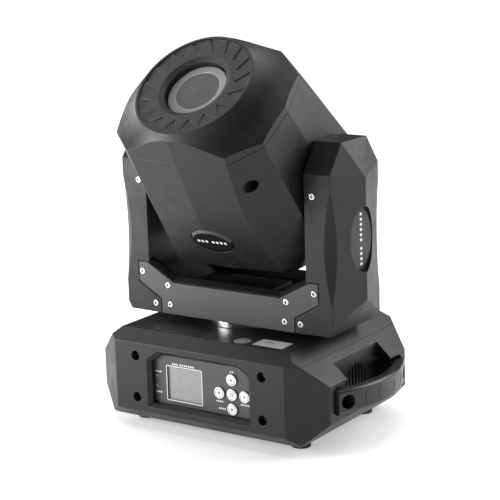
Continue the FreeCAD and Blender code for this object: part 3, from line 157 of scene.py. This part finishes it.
def plastic(name, level, rough, grain=1500.0, grain_bump=0.6, edge_wear_and_highlight=12.0, specular=0.5):
    """Moulded plastic: fine grain, slow changes of shade, dust, and paler edges that are partly
    rubbed wear and partly a painted highlight.
    """
    g = Graph(name)
    fine = g.noise(scale=grain, detail=3.0, rough=0.6)
    slow = g.noise(scale=9.0, detail=3.0, rough=0.55)
    dust = g.noise(scale=60.0, detail=4.0, rough=0.65)
    shade = g.mix(g.vary(slow, 0.0, 1.0),
                  grey(level * (1 - PLASTIC_CLOUD)), grey(level * (1 + PLASTIC_CLOUD)))
    shade = g.mix(g.span(fine, 0.35, 0.65, 0.0, 0.35), shade, grey(level * 1.6))
    edge_mask, soft = g.edge(PLASTIC_EDGE_R)
    worn_and_highlit = g.math("MULTIPLY", edge_mask, g.span(dust, 0.35, 0.62, 0.15, 0.75), clamp=True)
    # paler edges: partly rubbed wear under the dust mask, partly a painted highlight along edges
    # and creases
    g.set("Base Color", g.mix(worn_and_highlit, shade, grey(level * edge_wear_and_highlight)))
    mottled = g.math("ADD", g.vary(dust, rough - 0.08, rough + 0.08),
                     g.vary(slow, -0.03, 0.03))
    g.set("Roughness", g.math("SUBTRACT", mottled, g.math("MULTIPLY", edge_mask, 0.08), clamp=True))
    g.set("IOR", PLASTIC_IOR)
    g.set("Specular IOR Level", specular)
    g.set("Normal", g.bump(fine, strength=grain_bump, distance=0.00006, normal=soft))
    return g.material


def metal(name, level, rough, scratch=0.25, slot_shade=0.0):
    """Bare metal with fine scratches, smudges and brighter edges, and painted shade darkening its
    recesses.
    """
    g = Graph(name)
    lines = g.noise(scale=900.0, detail=4.0)
    smudge = g.noise(scale=70.0, detail=3.0, rough=0.6)
    edge_mask, soft = g.edge(METAL_EDGE_R)
    base = g.mix(g.vary(smudge, 0.0, 1.0), grey(level * 0.82), grey(level))
    base = g.mix(g.math("MULTIPLY", edge_mask, 0.6), base, grey(min(level * 1.25, 0.95)))
    if slot_shade:
        # painted shade: slots and holes darkened towards near black by ambient occlusion
        base = g.mix(g.sunken(slot_shade), base, grey(0.02))
    g.set("Base Color", base)
    g.set("Metallic", 1.0)
    g.set("Roughness", g.math("ADD", g.vary(lines, rough - 0.06, rough + 0.08),
                              g.vary(smudge, -0.04, 0.06), clamp=True))
    g.set("Normal", g.bump(lines, strength=scratch, distance=0.00003, normal=soft))
    return g.material


def coated(name, level, rough):
    """Powder coat: orange-peel bump with fine paler pits."""
    g = Graph(name)
    peel = g.noise(scale=700.0, detail=2.0, rough=0.5)
    pits = g.noise(scale=2600.0, detail=2.0, rough=0.6)
    slow = g.noise(scale=14.0, detail=3.0, rough=0.5)
    edge_mask, soft = g.edge(COAT_EDGE_R)
    shade = g.mix(g.vary(slow, 0.0, 1.0), grey(level * 0.9), grey(level * 1.1))
    shade = g.mix(g.span(pits, 0.4, 0.65, 0.0, 0.3), shade, grey(level * 1.5))
    g.set("Base Color", g.mix(g.math("MULTIPLY", edge_mask, 0.6), shade, grey(level * COAT_EDGE_LEVEL)))
    g.set("Roughness", g.vary(peel, rough - 0.06, rough + 0.06))
    height = g.math("ADD", peel, g.math("MULTIPLY", pits, 0.5))
    g.set("Normal", g.bump(height, strength=0.4, distance=0.00008, normal=soft))
    return g.material


def printed(name, level, rough=0.45):
    """Silk-screened ink or a paper label: slightly uneven cover."""
    g = Graph(name)
    uneven = g.noise(scale=900.0, detail=3.0, rough=0.6)
    slow = g.noise(scale=80.0, detail=2.0, rough=0.5)
    base = g.mix(g.vary(uneven, 0.0, 1.0), grey(level * 0.9), grey(level))
    g.set("Base Color", g.mix(g.span(slow, 0.35, 0.7, 0.0, 0.4), base, grey(level * 0.88)))
    g.set("Roughness", g.vary(uneven, rough - 0.05, rough + 0.08))
    g.set("Normal", g.bump(uneven, strength=0.2, distance=0.00002))
    return g.material


def rubbery(name, level):
    """Dull rubber with pale dust."""
    g = Graph(name)
    grain = g.noise(scale=1200.0, detail=4.0, rough=0.7)
    dust = g.noise(scale=45.0, detail=4.0, rough=0.6)
    edge_mask, soft = g.edge(RUBBER_EDGE_R)
    base = g.mix(g.span(dust, 0.35, 0.75, 0.0, 0.7), grey(level), grey(level * 2.4))
    g.set("Base Color", g.mix(g.math("MULTIPLY", edge_mask, 0.4), base, grey(level * 2.5)))
    g.set("Roughness", g.vary(grain, RUBBER_ROUGHNESS - 0.08, RUBBER_ROUGHNESS + 0.06))
    g.set("Normal", g.bump(grain, strength=0.5, distance=0.00008, normal=soft))
    return g.material


def glassy(name, level, transmission, rough):
    """Coated glass with a faint film of dust."""
    g = Graph(name)
    film = g.noise(scale=50.0, detail=4.0, rough=0.6)
    g.set("Base Color", g.mix(g.vary(film, 0.0, 1.0), grey(level), grey(level * 1.12)))
    g.set("Transmission Weight", transmission)
    g.set("Roughness", g.vary(film, rough, rough + 0.05))
    g.set("Specular IOR Level", 0.36)
    g.set("IOR", GLASS_IOR)
    g.set("Normal", g.bump(film, strength=0.04, distance=0.0002))
    return g.material


def board_material():
    """Green solder mask with paler tracks and pale pads."""
    g = Graph("circuit_board")
    tracks = g.node("ShaderNodeTexBrick")
    g.join(g.place, tracks.inputs["Vector"])
    tracks.inputs["Scale"].default_value = 120.0
    tracks.inputs["Mortar Size"].default_value = 0.06
    tracks.inputs["Color1"].default_value = (0.008, 0.06, 0.02, 1)
    tracks.inputs["Color2"].default_value = (0.012, 0.09, 0.03, 1)
    tracks.inputs["Mortar"].default_value = (0.03, 0.15, 0.06, 1)
    speck = g.noise(scale=300.0, detail=3.0, rough=0.6)
    pads = g.span(speck, 0.62, 0.7, 0.0, 0.6)
    g.set("Base Color", g.mix(pads, tracks.outputs["Color"], PALE_PAD))
    g.set("Roughness", g.vary(speck, 0.3, 0.5))
    g.set("Normal", g.bump(tracks.outputs["Fac"], strength=0.3, distance=0.0001))
    return g.material


def display_material():
    """Unlit display under its protective film: pale grey, a faint cell grid and smudges."""
    g = Graph("display_grey")
    smudge = g.noise(scale=60.0, detail=3.0, rough=0.6)
    grid = g.node("ShaderNodeTexBrick", offset=0.0)
    g.join(g.place, grid.inputs["Vector"])
    grid.inputs["Scale"].default_value = 900.0
    grid.inputs["Brick Width"].default_value = 0.5
    grid.inputs["Row Height"].default_value = 0.5
    grid.inputs["Mortar Size"].default_value = 0.02
    grid.inputs["Color1"].default_value = grey(DISPLAY_CELL)
    grid.inputs["Color2"].default_value = grey(DISPLAY_CELL_PALE)
    grid.inputs["Mortar"].default_value = grey(DISPLAY_GRID)
    smeared = g.vary(smudge, 0.0, 0.2)
    g.set("Base Color", g.mix(smeared, grid.outputs["Color"], grey(DISPLAY_GRID)))
    g.set("Roughness", g.vary(smudge, 0.22, 0.35))
    g.set("Coat Weight", 0.3)
    g.set("Coat Roughness", 0.12)
    g.set("Normal", g.bump(smudge, strength=0.05, distance=0.0001))
    return g.material


LOOKS = {
    "shell": plastic("shell_black", 0.006, 0.46, specular=0.44),
    "shell_base": plastic("base_black", 0.008, 0.42, specular=0.40),
    "shell_arm": plastic("arm_black", 0.013, 0.46, specular=0.28),
    # painted shade: a darker, duller copy of the black plastic for the tray under the head
    "tray": plastic("tray_black_painted_shade", 0.005, 0.50, specular=0.12, edge_wear_and_highlight=6.0),
    "disc": plastic("disc_black", 0.020, 0.52, grain=1800.0, specular=0.42),
    "handle": plastic("handle_black", 0.008, 0.32),
    "panel": plastic("panel_black", 0.050, 0.40, grain=2200.0, grain_bump=0.25),
    "gloss": plastic("badge_gloss", 0.008, 0.16, grain=500.0, grain_bump=0.03, edge_wear_and_highlight=14.0),
    "badge_arm": plastic("badge_arm_black", 0.012, 0.40, specular=0.22),
    "bridge": coated("bridge_grey", 0.032, 0.46),
    "black_coat": coated("black_coat", 0.025, 0.5),
    "screw": metal("screw_bright", 0.80, 0.32, slot_shade=SCREW_SLOT_SHADE),
    "button": metal("button_silver", 0.80, 0.34, scratch=0.1),
    "ring": plastic("ring_grey", 0.22, 0.42),
    "polished": metal("shaft_polished", 0.8, 0.14),
    "aluminium": metal("aluminium_plain", 0.6, 0.38),
    "anodised": metal("anodised_black", 0.08, 0.45),
    "rubber": rubbery("rubber_black", 0.02),
    "belt": rubbery("belt_black", 0.015),
    "lens": glassy("lens_glass", 0.035, 0.0, 0.16),
    "focus_lens": glassy("focus_glass", 0.85, 0.9, 0.02),
    "lamp": glassy("lamp_clear", 0.5, 0.4, 0.2),
    "board": board_material(),
    "display": display_material(),
    "ink": printed("ink_white", 0.80),
    "ink_dark": printed("ink_dark", 0.03),
    "label_white": printed("label_white", 0.86, 0.5),
    "label_silver": printed("label_silver", 0.50, 0.3),
}

LOOK_NODES = {
    "shell": "head_shell_upper head_shell_lower head_front_cover head_rear_cover",
    "shell_base": "base_housing base_cheek_right base_cheek_left",
    "shell_arm": "arm_cover_right arm_cover_left",
    "tray": "yoke_tray",
    "disc": "front_disc",
    "handle": "handle_right handle_left head_fan_frame head_fan_rotor",
    "panel": "control_panel rear_panel",
    "gloss": "power_inlet head_badges",
    "badge_arm": "arm_badges",
    "bridge": "bridge_panels",
    "black_coat": "bottom_plate pan_motor yoke_frame tilt_motor head_motors",
    "screw": "base_screws yoke_screws head_screws focus_screw",
    "button": "button_up button_down button_left button_right button_enter",
    "ring": "dmx_sockets lens_ring",
    "polished": "pan_bearing pan_shaft tilt_bearings tilt_axles",
    "aluminium": "power_supply pan_motor_pulley pan_pulley tilt_motor_pulley tilt_pulley "
                 "head_chassis led_engine heatsink",
    "anodised": "colour_wheel gobo_wheel focus_carriage",
    "rubber": "rubber_feet",
    "belt": "pan_belt tilt_belt",
    "lens": "front_lens",
    "focus_lens": "focus_lens",
    "lamp": "indicator_lamps",
    "board": "circuit_boards",
    "display": "display_window",
}
for look, names in LOOK_NODES.items():
    for name in names.split():
        materials = nodes[name].data.materials
        materials.clear()
        materials.append(LOOKS[look])

# ---------------------------------------------------------------- pieces, in mm
SHEET_GAP, SHEET_THICK, OVERPRINT_THICK = 0.02, 0.08, 0.03
OVERPRINT_LIFT = SHEET_GAP + SHEET_THICK  # print on a label clears the label by SHEET_GAP
DISPLAY_FRAME = ((22.6, 18.7, 1.6), (21.7, 17.8, 1.0))  # outer and inner half sizes and corners
TITLE_SPOT = (-1.0, 20.6)               # from the display's middle
TITLE_ROW = ((3, 7), 1.8, 1.9, 0.9)     # blocks in each group, a block's width and height, gap
LAMP_MARKS_X, LAMP_MARKS_Z = 1.6, (-11.8, 9.9)  # from the lamps' middle
LAMP_ROW = ((3,), 2.0, 1.7, 0.8)
BUTTON_BLOCK = (1.5, 1.7, 0.7)          # width, height and gap
BUTTON_MARKS = {                        # shift from the button's middle, and blocks in the row
    "up": (-0.2, 8.2, 2), "down": (-13.0, -1.2, 4),
    "left": (-0.6, -9.2, 4), "right": (-0.6, -8.8, 5),
}
BUTTON_SYMBOLS = {"up": 90, "down": 270, "left": 180, "right": 0}  # where each arrow points
BUTTON_PAINT_IN = 0.22                  # depth of the painted grooves in a button's face
BUTTON_RING_R, ENTER_RING_R, ARROW_R = (4.66, 4.24), (2.06, 1.34), 1.85
ROUND_LABEL_IN = Vector((-77.1, 24.4, 0))  # from the housing's right front top corner
WHITE_LABEL_IN = Vector((-44.5, 29.5, 0))
ROUND_LABEL_R, ROUND_LABEL_RING_R = 8.6, (5.6, 4.9)
WHITE_LABEL = (17.6, 10.6, 0.8)         # half sizes and corner
WHITE_LABEL_DASH = (-4.9, 2.5, 4.6, 0.9, 0.5)  # middle, half sizes and corner
HEAD_TILT = math.radians(41.4)          # rest tilt of the head
HEAD_BADGE_FACE = 90.6                  # from the middle of the pair of head badges to a face
HEAD_BADGE_ROW = ((3, 4), 2.9, 3.4, 2.0)
ARM_BADGE_ROW = ((6, 4), 2.9, 3.8, 2.3)


def rounded_rectangle(x, z, half_w, half_h, radius, steps=5):
    points = []
    for side_x, side_z, start in ((1, 1, 0), (-1, 1, 90), (-1, -1, 180), (1, -1, 270)):
        for i in range(steps + 1):
            a = math.radians(start + 90.0 * i / steps)
            points.append((x + side_x * (half_w - radius) + radius * math.cos(a),
                           z + side_z * (half_h - radius) + radius * math.sin(a)))
    return points


def circle(radius, count=48, turn=0.0):
    step = 2 * math.pi / count
    return [(radius * math.cos(turn + i * step), radius * math.sin(turn + i * step))
            for i in range(count)]


def dashes(x, z, groups, width, height, gap):
    """Row of plain blocks centred on (x, z); a wider space parts the groups."""
    group_gap = 1.5 * gap
    total = sum(groups) * (width + gap) - gap + (len(groups) - 1) * group_gap
    left, shapes = x - total / 2, []
    for count in groups:
        for _ in range(count):
            block = rounded_rectangle(left + width / 2, z, width / 2, height / 2, width * 0.3, 3)
            shapes.append((block, None))
            left += width + gap
        left += group_gap
    return shapes


def sheet(name, body, look, origin, across, up, shapes, thick=SHEET_THICK):
    """Thin closed sheet on a face. Shapes are (outline, hole) pairs in mm, of one length."""
    normal = across.cross(up).normalized()
    bm = bmesh.new()

    def ring(points, lift):
        return [bm.verts.new(origin + (across * x + up * z + normal * lift) * MM)
                for x, z in points]

    for outline, hole in shapes:
        count = len(outline)
        low, high = ring(outline, SHEET_GAP), ring(outline, SHEET_GAP + thick)
        if hole is None:
            bm.faces.new(high)
            bm.faces.new(low[::-1])
        else:
            hole_low, hole_high = ring(hole, SHEET_GAP), ring(hole, SHEET_GAP + thick)
        for i in range(count):
            j = (i + 1) % count
            bm.faces.new((low[i], low[j], high[j], high[i]))
            if hole is not None:
                bm.faces.new((hole_low[j], hole_low[i], hole_high[i], hole_high[j]))
                bm.faces.new((high[i], high[j], hole_high[j], hole_high[i]))
                bm.faces.new((low[j], low[i], hole_low[i], hole_low[j]))
    bmesh.ops.recalc_face_normals(bm, faces=bm.faces)
    mesh = bpy.data.meshes.new(name)
    bm.to_mesh(mesh)
    bm.free()
    mesh.materials.append(LOOKS[look])
    piece = bpy.data.objects.new(name, mesh)
    scene.collection.objects.link(piece)
    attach(piece, body)


def middle(name):
    low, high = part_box(name)
    return (Vector(low) + Vector(high)) / 2


def front(name):
    """Y of the node's foremost point."""
    return Vector(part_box(name)[0]).y


def panel_print():
    """Frame round the display and plain dashes beside the buttons, lamps and display."""
    window = middle("display_window")
    origin = Vector((window.x, front("control_panel"), window.z))
    outer, inner = DISPLAY_FRAME
    frame_line = (rounded_rectangle(0, 0, *outer), rounded_rectangle(0, 0, *inner))
    title = dashes(*TITLE_SPOT, *TITLE_ROW)
    sheet("display_frame", "base", "ink", origin, X, Z, [frame_line] + title)
    marks = []
    lamps = middle("indicator_lamps")
    lamps_x, lamps_z = (lamps.x - window.x) / MM, (lamps.z - window.z) / MM
    for rise in LAMP_MARKS_Z:
        marks += dashes(lamps_x + LAMP_MARKS_X, lamps_z + rise, *LAMP_ROW)
    for name, (shift_x, shift_z, count) in BUTTON_MARKS.items():
        spot = (middle("button_" + name) - window) / MM
        marks += dashes(spot.x + shift_x, spot.z + shift_z, (count,), *BUTTON_BLOCK)
    sheet("panel_marks", "base", "ink", origin, X, Z, marks)


def button_print():
    """Dark paint in the sunken ring and symbol of each button."""
    outer, inner = BUTTON_RING_R
    enter_outer, enter_inner = ENTER_RING_R
    for name in ("up", "down", "left", "right", "enter"):
        node = "button_" + name
        spot = middle(node)
        origin = Vector((spot.x, front(node) + BUTTON_PAINT_IN * MM, spot.z))
        shapes = [(circle(outer), circle(inner))]
        if name == "enter":
            shapes.append((circle(enter_outer), circle(enter_inner)))
        else:
            shapes.append((circle(ARROW_R, 3, math.radians(BUTTON_SYMBOLS[name])), None))
        sheet("mark_" + name, node, "ink_dark", origin, X, Z, shapes)


def base_labels():
    """Blank round silver label and blank white label on the base's top."""
    low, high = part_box("base_housing")
    corner = Vector((high[0], low[1], high[2]))
    round_spot = corner + ROUND_LABEL_IN * MM
    white_spot = corner + WHITE_LABEL_IN * MM
    ink_lift = Z * OVERPRINT_LIFT * MM
    ring_outer, ring_inner = ROUND_LABEL_RING_R
    sheet("label_round", "base", "label_silver", round_spot, X, Y,
          [(circle(ROUND_LABEL_R), None)])
    sheet("label_round_ring", "base", "ink_dark", round_spot + ink_lift, X, Y,
          [(circle(ring_outer), circle(ring_inner))], OVERPRINT_THICK)
    sheet("label_white", "base", "label_white", white_spot, X, Y,
          [(rounded_rectangle(0, 0, *WHITE_LABEL), None)])
    sheet("label_white_dash", "base", "ink_dark", white_spot + ink_lift, X, Y,
          [(rounded_rectangle(*WHITE_LABEL_DASH), None)], OVERPRINT_THICK)


def badge_print():
    """Rows of plain blocks on the oval badges."""
    pair = middle("head_badges")
    up = Vector((0, -math.sin(HEAD_TILT), math.cos(HEAD_TILT)))
    for name, side in (("front", 1), ("rear", -1)):
        out = Vector((0, -math.cos(HEAD_TILT), -math.sin(HEAD_TILT))) * side
        sheet("badge_row_head_" + name, "head", "ink",
              pair + out * HEAD_BADGE_FACE * MM, up.cross(out), up, dashes(0, 0, *HEAD_BADGE_ROW))
    low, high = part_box("arm_badges")
    for name, x, out in (("left", low[0], -X), ("right", high[0], X)):
        origin = Vector((x, (low[1] + high[1]) / 2, (low[2] + high[2]) / 2))
        sheet("badge_row_arm_" + name, "yoke", "ink", origin, -Z, out.cross(-Z),
              dashes(0, 0, *ARM_BADGE_ROW))


panel_print()
button_print()
base_labels()
badge_print()

# ---------------------------------------------------------------- camera, floor and light
AZIMUTH, ELEVATION, ROLL = 34.7, 13.0, -1.8
CAMERA_PLACE = Vector((0.9433, -1.3628, 0.5600))
LENS, SENSOR = 118.4, 36.0
FLOOR_HALF = 12.0
FLOOR_GLOW = 0.36                       # near the light; the far floor fades to white
FLOOR_FADE = (0.25, 1.1)                # where the fade starts and ends, from the middle
WORLD_LEVEL, WORLD_SEEN = 0.10, 1.05    # as light, and as the camera's background
LIGHT_AIM = Vector((0, 0, 0.2))
LIGHTS = {                              # place, size and power of each softbox
    "left_box": ((-0.74, -0.72, 0.30), (0.45, 0.5), 10.5),
    "upper_left_box": ((-1.10, 0.0, 1.30), (1.0, 1.0), 6.5),
    "left_wall": ((-1.50, 0.50, 0.50), (0.8, 1.1), 5.5),
    "right_box": ((1.0, 1.05, 0.80), (0.9, 0.8), 17.0),
    "top_box": ((0.0, -0.10, 2.1), (1.2, 1.2), 11.0),
    "back_box": ((0.20, 1.15, 1.40), (1.1, 0.9), 7.5),
}


def make_camera():
    a, e, r = (math.radians(v) for v in (AZIMUTH, ELEVATION, ROLL))
    back = Vector((math.sin(a) * math.cos(e), -math.cos(a) * math.cos(e), math.sin(e)))
    right = (-back).cross(Z).normalized()
    up = right.cross(-back)
    right, up = right * math.cos(r) + up * math.sin(r), up * math.cos(r) - right * math.sin(r)
    data = bpy.data.cameras.new("camera")
    data.lens = LENS
    data.sensor_width = SENSOR
    camera = bpy.data.objects.new("camera", data)
    turn = Matrix((right, up, back)).transposed().to_4x4()
    camera.matrix_world = Matrix.Translation(CAMERA_PLACE) @ turn
    scene.collection.objects.link(camera)
    scene.camera = camera


def make_floor():
    """Pale floor whose glow grows outward, so that it ends in plain white."""
    bm = bmesh.new()
    corners = ((-1, -1), (1, -1), (1, 1), (-1, 1))
    bm.faces.new([bm.verts.new((x * FLOOR_HALF, y * FLOOR_HALF, 0)) for x, y in corners])
    mesh = bpy.data.meshes.new("floor")
    bm.to_mesh(mesh)
    bm.free()
    floor = bpy.data.objects.new("floor", mesh)
    scene.collection.objects.link(floor)
    g = Graph("floor_pale")
    g.set("Base Color", g.mix(g.noise(scale=2.0, detail=3.0), grey(0.92), grey(0.95)))
    g.set("Roughness", 0.9)
    g.set("Emission Color", grey(1.0))
    spread = g.node("ShaderNodeVectorMath", operation="LENGTH")
    g.join(g.place, spread.inputs[0])
    glow = g.span(spread.outputs["Value"], *FLOOR_FADE, FLOOR_GLOW, 1.0, smooth=True)
    g.set("Emission Strength", glow)
    mesh.materials.append(g.material)


def make_light(name, place, size, power):
    data = bpy.data.lights.new(name, "AREA")
    data.shape = "RECTANGLE"
    data.size, data.size_y = size
    data.energy = power
    lamp = bpy.data.objects.new(name, data)
    lamp.location = place
    lamp.rotation_mode = "QUATERNION"
    lamp.rotation_quaternion = (LIGHT_AIM - Vector(place)).to_track_quat("-Z", "Y")
    lamp.visible_camera = False
    scene.collection.objects.link(lamp)


def make_world():
    """Dim white surroundings that the camera itself sees as plain white."""
    world = bpy.data.worlds.new("studio")
    scene.world = world
    world.use_nodes = True
    tree = world.node_tree
    tree.nodes.clear()
    out = tree.nodes.new("ShaderNodeOutputWorld")
    seen = tree.nodes.new("ShaderNodeBackground")
    lit = tree.nodes.new("ShaderNodeBackground")
    for background, strength in ((seen, WORLD_SEEN), (lit, WORLD_LEVEL)):
        background.inputs["Color"].default_value = grey(1)
        background.inputs["Strength"].default_value = strength
    path = tree.nodes.new("ShaderNodeLightPath")
    blend = tree.nodes.new("ShaderNodeMixShader")
    tree.links.new(path.outputs["Is Camera Ray"], blend.inputs[0])
    tree.links.new(lit.outputs[0], blend.inputs[1])
    tree.links.new(seen.outputs[0], blend.inputs[2])
    tree.links.new(blend.outputs[0], out.inputs["Surface"])


make_camera()
make_floor()
make_world()
for light, settings in LIGHTS.items():
    make_light(light, *settings)
scene.view_settings.view_transform = "Standard"
